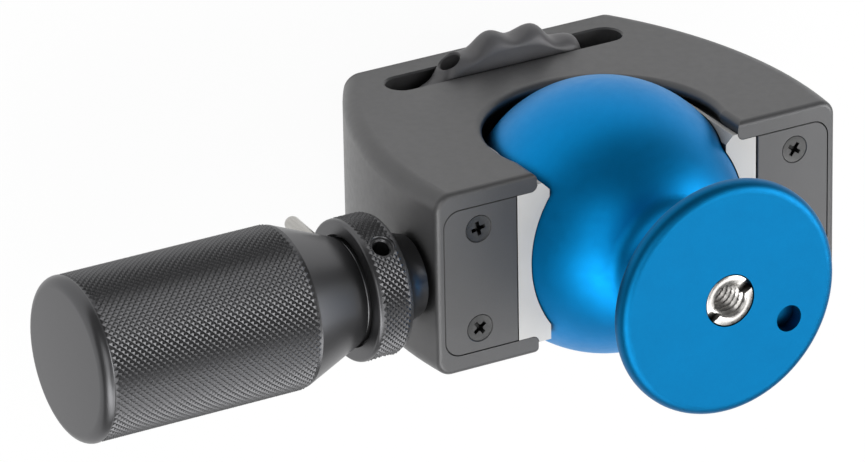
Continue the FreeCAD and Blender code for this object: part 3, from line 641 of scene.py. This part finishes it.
class BALLHEAD_OT_wheel(PieceOperator):
    """Turn, scoop and drill the mounting wheel, and finish its threaded bush"""

    bl_idname = "ball_head.wheel"
    bl_label = "Mounting wheel"

    def execute(self, context):
        colours = self.colours(context)
        wheel = self.wheel()
        dress(wheel, anodised("wheel_anodised", colours.wheel, 0.2, 0.46, 0.8e-5))
        stand_for(wheel, "mounting_wheel")
        dress(
            frame["nodes"]["wheel_thread_bush"],
            steel("wheel_bush_steel", colours.plated, 0.30, (1, 1, 6), 4e-6),
        )
        return {"FINISHED"}

    def wheel(self):
        low = WHEEL_LOW.z
        high = WHEEL_HIGH.z
        middle = (low + high) / 2
        half = (high - low) / 2
        steps = WHEEL_LOBES * WHEEL_STEPS_PER_LOBE
        first_lobe = math.radians(WHEEL_HOLE_TURN)
        skin = Skin(steps)
        bore = skin.ring(WHEEL_BORE_RADIUS, low)
        last = bore
        for row in range(WHEEL_ROWS + 1):
            rise = math.pi * (row / WHEEL_ROWS - 0.5)
            swell = max(0.0, math.cos(rise)) ** WHEEL_BELLY
            ring = []
            for step in range(steps):
                angle = 2 * math.pi * step / steps
                dip = (1 - math.cos(WHEEL_LOBES * (angle - first_lobe))) / 2
                rim = WHEEL_RADIUS - WHEEL_FACE_RADIUS - WHEEL_SCOOP_DEPTH * dip
                along = middle + half * math.sin(rise)
                ring.append(skin.add(angle, WHEEL_FACE_RADIUS + rim * swell, along))
            skin.bridge(last, ring)
            last = ring
        top = skin.ring(WHEEL_BORE_RADIUS, high)
        skin.bridge(last, top)
        skin.bridge(top, bore)
        obj = piece("scooped_wheel", skin.points, skin.faces)
        spot = WHEEL_RADIUS - WHEEL_SPOT_DEPTH
        floor = WHEEL_RADIUS - WHEEL_HOLE_DEPTH
        tools = []
        for number in range(WHEEL_HOLES):
            turn = first_lobe + 2 * math.pi * number / WHEEL_HOLES
            place = (
                Matrix.Translation((0, 0, middle))
                @ Matrix.Rotation(turn, 4, "Z")
                @ Matrix.Rotation(math.pi / 2, 4, "Y")
            )
            sizes = (WHEEL_HOLE_RADIUS, WHEEL_SPOT_RADIUS)
            tools.append(drill(sizes, floor, spot, WHEEL_RADIUS + 1 * MM, place))
        return carve(obj, tools)


class BALLHEAD_OT_grip(PieceOperator):
    """Turn and knurl the clamp grip"""

    bl_idname = "ball_head.grip"
    bl_label = "Clamp grip"

    def execute(self, context):
        sizes = self.sizes(context)
        start = GRIP_LOW.x
        end = GRIP_HIGH.x
        cone_start = start + GRIP_NECK_LENGTH
        knurl_start = cone_start + GRIP_CONE_LENGTH
        root = GRIP_RADIUS - sizes.knurl_depth
        round_radius = sizes.grip_end_round
        round_start = end - round_radius
        steps = round(2 * math.pi * GRIP_RADIUS / sizes.knurl_pitch)
        skin = Skin(steps)
        floor = start + GRIP_CORE_DEPTH
        bottom = skin.ring(GRIP_CORE_RADIUS, floor)
        skin.cap(bottom, skin.pole(floor), True)
        foot = GRIP_CONE_FOOT_RADIUS
        ease = GRIP_CONE_FOOT_ROUND
        last = skin.sweep(
            [
                (GRIP_CORE_RADIUS, start),
                (GRIP_NECK_RADIUS, start),
                (GRIP_NECK_RADIUS, cone_start - sizes.edge_break),
                (GRIP_NECK_RADIUS - sizes.edge_break / 2, cone_start),
                (foot - ease / 2, cone_start),
                (foot, cone_start + ease / 4),
                (foot + ease / 3, cone_start + ease),
                (GRIP_RADIUS - sizes.edge_break, knurl_start - sizes.edge_break),
                (root, knurl_start),
            ],
            bottom,
        )
        length = round_start - GRIP_BARE_END - knurl_start
        last = skin.knurl(
            last, GRIP_RADIUS, knurl_start, length, sizes.knurl_pitch, sizes.knurl_depth
        )
        rim = arc((GRIP_RADIUS - round_radius, round_start), round_radius, 0, 90, 10)
        bevel = [(root + sizes.knurl_depth * 0.8, round_start - GRIP_BARE_END / 2)]
        last = skin.sweep(bevel + rim, last)
        skin.cap(last, skin.pole(end), True)
        obj = piece("knurled_grip", skin.points, skin.faces, clamp_axis(), 25)
        dress(obj, grip_finish())
        stand_for(obj, "clamp_grip")
        return {"FINISHED"}


def grip_finish():
    """The plain finish that comes with the frame, shared by the grip and the ring."""
    return bpy.data.materials["grip_anodised"]


class BALLHEAD_OT_ring(PieceOperator):
    """Turn, knurl and drill the friction ring"""

    bl_idname = "ball_head.ring"
    bl_label = "Friction ring"

    def execute(self, context):
        sizes = self.sizes(context)
        start = RING_LOW.x
        end = RING_HIGH.x
        knurl_start = start + RING_HUB_LENGTH
        edge = RING_RADIUS - RING_INNER_EDGE_RADIUS
        band_start = knurl_start + edge
        band_end = knurl_start + RING_KNURL_LENGTH
        steps = round(2 * math.pi * RING_RADIUS / sizes.knurl_pitch)
        skin = Skin(steps)
        hub_bend = (RING_HUB_RADIUS + 0.9 * MM, start + RING_HUB_LENGTH * 0.72)
        hub = bend(
            (RING_HUB_RADIUS, start), hub_bend, (RING_INNER_EDGE_RADIUS, knurl_start), 12
        )
        first = skin.sweep([(RING_BORE_RADIUS, start)] + hub)
        low = skin.sweep([(RING_RADIUS - sizes.knurl_depth, band_start)], first)
        last = skin.knurl(
            low,
            RING_RADIUS,
            band_start,
            band_end - band_start,
            sizes.knurl_pitch,
            sizes.knurl_depth,
        )
        nose = bend(
            (RING_RADIUS - sizes.knurl_depth * 0.3, band_end + 0.1 * MM),
            (RING_RADIUS - 0.1 * MM, end),
            (RING_RADIUS - RING_NOSE * 0.75, end),
            10,
        )
        recess_floor = end - RING_RECESS_DEPTH
        last = skin.sweep(
            nose
            + [
                (RING_RECESS_RADIUS + sizes.edge_break / 2, end),
                (RING_RECESS_RADIUS, end - sizes.edge_break / 2),
                (RING_RECESS_RADIUS, recess_floor),
                (RING_BORE_RADIUS, recess_floor),
            ],
            last,
        )
        skin.bridge(last, list(range(steps)))
        obj = piece("knurled_ring", skin.points, skin.faces, clamp_axis(), 25)
        middle = (knurl_start * 2 + RING_KNURL_LENGTH) / 2
        tools = []
        floor = RING_RADIUS - RING_HOLE_DEPTH
        spot = RING_RADIUS - RING_SPOT_DEPTH
        for turn in RING_HOLE_TURNS:
            place = (
                Matrix.Translation((middle, 0, CLAMP_HEIGHT))
                @ Matrix.Rotation(math.radians(turn), 4, "X")
            )
            holes = (RING_HOLE_RADIUS, RING_SPOT_RADIUS)
            tools.append(drill(holes, floor, spot, RING_RADIUS + 1 * MM, place))
        carve(obj, tools, 25)
        dress(obj, grip_finish())
        stand_for(obj, "friction_ring")
        return {"FINISHED"}


class BALLHEAD_OT_camera_bush(PieceOperator):
    """Thread and slot the camera bush"""

    bl_idname = "ball_head.camera_bush"
    bl_label = "Camera bush"

    def execute(self, context):
        sizes = self.sizes(context)
        top = BUSH_HIGH.z
        low = BUSH_LOW.z
        lip = BUSH_RADIUS - BUSH_LIP_CLEARANCE
        skin = Skin(ROUND_STEPS)
        outer = [
            (BUSH_BODY_RADIUS, low),
            (BUSH_BODY_RADIUS, top - BUSH_LIP),
            (lip, top - BUSH_LIP),
            (lip, top - BUSH_LIP_CHAMFER),
            (lip - BUSH_LIP_CHAMFER, top),
        ]
        last = skin.sweep(outer)
        depth = sizes.camera_major - BUSH_MINOR_RADIUS
        for row in range(BUSH_THREAD_ROWS + 1):
            along = top + (low - top) * row / BUSH_THREAD_ROWS
            mouth = BUSH_MINOR_RADIUS + BUSH_MOUTH - (top - along)
            ring = []
            for step in range(ROUND_STEPS):
                phase = (along / sizes.camera_pitch - step / ROUND_STEPS) % 1.0
                flank = min(1.0, max(0.0, 1.5 - 3.0 * abs(phase - 0.5)))
                radius = max(BUSH_MINOR_RADIUS + depth * flank, mouth)
                ring.append(skin.add(2 * math.pi * step / ROUND_STEPS, radius, along))
            skin.bridge(last, ring)
            last = ring
        skin.bridge(last, list(range(ROUND_STEPS)))
        obj = piece("threaded_bush", skin.points, skin.faces, None, 55)
        slot = prism_tool(
            "slot",
            (BUSH_RADIUS + 1 * MM, BUSH_SLOT_WIDTH / 2, top - BUSH_SLOT_DEPTH),
            (BUSH_RADIUS + 1 * MM, BUSH_SLOT_WIDTH / 2, top + 1 * MM),
            Matrix.Rotation(math.radians(BUSH_SLOT_TURN), 4, "Z"),
        )
        carve(obj, [slot], 55)
        plated = steel("plated_steel", self.colours(context).plated, 0.28, (1, 1, 1), 1e-6)
        dress(obj, plated)
        stand_for(obj, "camera_thread_bush")
        return {"FINISHED"}


class BALLHEAD_OT_cover_screws(PieceOperator):
    """Turn the countersunk screws and cut their cross recesses"""

    bl_idname = "ball_head.cover_screws"
    bl_label = "Cover screws"

    def execute(self, context):
        colour = self.colours(context).screw
        black = steel("black_steel", colour, 0.38, (1, 1, 1), 3e-6, 0.85)
        for node, turns in SCREW_TURNS.items():
            low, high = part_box(node)
            middle = (low.x + high.x) / 2
            rows = (low.y + SCREW_HEAD_RADIUS, high.y - SCREW_HEAD_RADIUS)
            screws = []
            for row, turn in zip(rows, turns):
                place = Matrix.Translation((middle, row, high.z))
                screws.append(self.screw(place, turn, high.z - low.z))
            group = join(screws, node + "_cut")
            dress(group, black)
            stand_for(group, node)
        return {"FINISHED"}

    def screw(self, place, turn, length):
        skin = Skin(64)
        tip = skin.pole(-length)
        low = skin.ring(SCREW_SHANK_RADIUS - SCREW_EDGE, -length)
        skin.cap(low, tip, False)
        last = skin.sweep(
            [
                (SCREW_SHANK_RADIUS, SCREW_EDGE * 2 - length),
                (SCREW_SHANK_RADIUS, -SCREW_HEAD_HEIGHT),
                (SCREW_HEAD_RADIUS, -SCREW_EDGE),
                (SCREW_HEAD_RADIUS - SCREW_EDGE, 0),
                (SCREW_HEAD_RADIUS - SCREW_EDGE * 3, -SCREW_DISH * 0.5),
                (SCREW_HEAD_RADIUS * 0.5, -SCREW_DISH),
            ],
            low,
        )
        skin.cap(last, skin.pole(-SCREW_DISH), True)
        obj = piece("screw", skin.points, skin.faces, place, 30)
        over = 0.4 * MM
        tools = []
        for quarter in (0, 90):
            spin = place @ Matrix.Rotation(math.radians(turn + quarter), 4, "Z")
            foot = (CROSS_FOOT, CROSS_WIDTH * 0.36, -CROSS_DEPTH)
            tools.append(prism_tool("blade", foot, (CROSS_REACH, CROSS_WIDTH / 2, over), spin))
        hub = [
            (0, -CROSS_DEPTH),
            (CROSS_HUB_RADIUS * 0.5, -CROSS_DEPTH * 0.98),
            (CROSS_HUB_RADIUS, over),
            (0, over),
        ]
        tools.append(turned_tool("hub", hub, place, 24))
        return carve(obj, tools, 30)


def join(objects, name):
    """One object from several, in their place."""
    shell = bmesh.new()
    for obj in objects:
        shell.from_mesh(obj.data)
    mesh = bpy.data.meshes.new(name)
    shell.to_mesh(mesh)
    shell.free()
    for obj in objects:
        old = obj.data
        bpy.data.objects.remove(obj)
        bpy.data.meshes.remove(old)
    joined = bpy.data.objects.new(name, mesh)
    bpy.context.scene.collection.objects.link(joined)
    shade(mesh, 30)
    return joined


class BALLHEAD_OT_steel_parts(PieceOperator):
    """Finish the tommy pin and the pieces inside the clamp"""

    bl_idname = "ball_head.steel_parts"
    bl_label = "Steel pin and inner pieces"

    def execute(self, context):
        colours = self.colours(context)
        ground = steel("ground_steel", colours.ground, 0.16, (1, 1, 0.12), 1.5e-6)
        for node in (
            "tommy_pin",
            "pressure_plate",
            "disc_springs",
            "thrust_ball",
            "clamp_spindle",
            "ring_key_pins",
            "grip_key_pin",
        ):
            dress(frame["nodes"][node], ground)
        dark = steel("dark_steel", colours.screw, 0.40, (6, 1, 1), 4e-6)
        for node in ("friction_sleeve", "platform_bolt"):
            dress(frame["nodes"][node], dark)
        washer = moulded("washer_plastic", shade_of(colours.jaw, 0.35), 0.45)
        for node in ("grip_washer", "far_jaw_shim"):
            dress(frame["nodes"][node], washer)
        return {"FINISHED"}


class BALLHEAD_OT_stage(PieceOperator):
    """Set the camera, the light and the pale floor"""

    bl_idname = "ball_head.stage"
    bl_label = "Studio"

    def execute(self, context):
        studio = context.scene.ball_head_studio
        self.camera(context, studio)
        self.surround(context, studio)
        self.floor()
        for softbox in SOFTBOXES:
            self.lamp(*softbox)
        context.scene.view_settings.view_transform = "Standard"
        return {"FINISHED"}

    def camera(self, context, studio):
        lens = bpy.data.cameras.new("photo_camera")
        lens.lens = studio.focal_length
        lens.sensor_width = SENSOR_WIDTH
        lens.clip_end = 20
        camera = bpy.data.objects.new("photo_camera", lens)
        context.scene.collection.objects.link(camera)
        back = outward(CAMERA_TURN, CAMERA_RISE)
        level = back.to_track_quat("Z", "Y").to_matrix().to_4x4()
        roll = Matrix.Rotation(math.radians(CAMERA_ROLL), 4, "Z")
        place = Matrix.Translation(CAMERA_AIM + back * CAMERA_DISTANCE)
        camera.matrix_world = place @ level @ roll
        context.scene.camera = camera

    def surround(self, context, studio):
        world = bpy.data.worlds.new("studio_surround")
        context.scene.world = world
        world.use_nodes = True
        nodes = world.node_tree.nodes
        links = world.node_tree.links
        output = nodes["World Output"]
        even = nodes["Background"]
        even.inputs["Color"].default_value = (1, 1, 1, 1)
        even.inputs["Strength"].default_value = studio.surround
        white = nodes.new("ShaderNodeBackground")
        white.inputs["Color"].default_value = (1, 1, 1, 1)
        white.inputs["Strength"].default_value = 1.0
        path = nodes.new("ShaderNodeLightPath")
        mix = nodes.new("ShaderNodeMixShader")
        links.new(path.outputs["Is Camera Ray"], mix.inputs["Fac"])
        links.new(even.outputs["Background"], mix.inputs[1])
        links.new(white.outputs["Background"], mix.inputs[2])
        links.new(mix.outputs["Shader"], output.inputs["Surface"])

    def floor(self):
        reach = FLOOR_REACH
        corners = [(-reach, -reach, 0), (reach, -reach, 0), (reach, reach, 0), (-reach, reach, 0)]
        floor = piece("floor", corners, [(0, 1, 2, 3)])
        finish = Finish("floor_paper")
        tone = finish.blend(finish.noise(6, 2), FLOOR_SHADE, FLOOR_PALE)
        finish.colour(tone)
        finish.shader.inputs["Roughness"].default_value = 0.9
        finish.shader.inputs["Specular IOR Level"].default_value = 0.1
        glow = finish.nodes.new("ShaderNodeEmission")
        path = finish.nodes.new("ShaderNodeLightPath")
        seen = finish.nodes.new("ShaderNodeMath")
        seen.operation = "MULTIPLY_ADD"
        seen.inputs[1].default_value = FLOOR_WHITE
        mix = finish.nodes.new("ShaderNodeMixShader")
        finish.links.new(path.outputs["Is Camera Ray"], seen.inputs[0])
        finish.links.new(path.outputs["Is Glossy Ray"], seen.inputs[2])
        finish.links.new(seen.outputs["Value"], mix.inputs["Fac"])
        finish.links.new(finish.shader.outputs["BSDF"], mix.inputs[1])
        finish.links.new(glow.outputs["Emission"], mix.inputs[2])
        output = finish.nodes["Material Output"]
        finish.links.new(mix.outputs["Shader"], output.inputs["Surface"])
        dress(floor, finish.material)

    def lamp(self, name, turn, rise, power):
        light = bpy.data.lights.new(name, "AREA")
        light.shape = "SQUARE"
        light.size = SOFTBOX_WIDTH
        light.energy = power
        lamp = bpy.data.objects.new(name, light)
        bpy.context.scene.collection.objects.link(lamp)
        out = outward(turn, rise)
        aimed = out.to_track_quat("Z", "Y").to_matrix().to_4x4()
        lamp.matrix_world = Matrix.Translation(LAMP_AIM + out * LAMP_DISTANCE) @ aimed


PIECE_OPERATORS = (
    BALLHEAD_OT_housing,
    BALLHEAD_OT_ball,
    BALLHEAD_OT_wheel,
    BALLHEAD_OT_grip,
    BALLHEAD_OT_ring,
    BALLHEAD_OT_camera_bush,
    BALLHEAD_OT_cover_screws,
    BALLHEAD_OT_steel_parts,
    BALLHEAD_OT_stage,
)


class BALLHEAD_PT_shop(bpy.types.Panel):
    """Lists the pieces of the ball head"""

    bl_idname = "BALLHEAD_PT_shop"
    bl_label = "Ball head"
    bl_space_type = "VIEW_3D"
    bl_region_type = "UI"
    bl_category = "Ball head"

    def draw(self, context):
        layout = self.layout
        for group in (context.scene.ball_head_sizes, context.scene.ball_head_colours):
            box = layout.box()
            for name in group.__annotations__:
                box.prop(group, name)
        for operator in PIECE_OPERATORS:
            layout.operator(operator.bl_idname)


GROUPS = {
    "ball_head_sizes": BallHeadSizes,
    "ball_head_colours": BallHeadColours,
    "ball_head_studio": BallHeadStudio,
}


def register():
    for group in GROUPS.values():
        bpy.utils.register_class(group)
    for name, group in GROUPS.items():
        setattr(bpy.types.Scene, name, bpy.props.PointerProperty(type=group))
    for operator in PIECE_OPERATORS:
        bpy.utils.register_class(operator)
    bpy.utils.register_class(BALLHEAD_PT_shop)


def unregister():
    bpy.utils.unregister_class(BALLHEAD_PT_shop)
    for operator in reversed(PIECE_OPERATORS):
        bpy.utils.unregister_class(operator)
    for name, group in GROUPS.items():
        delattr(bpy.types.Scene, name)
        bpy.utils.unregister_class(group)


def main():
    register()
    for operator in PIECE_OPERATORS:
        group, name = operator.bl_idname.split(".")
        getattr(getattr(bpy.ops, group), name)()


if __name__ == "__main__":
    main()
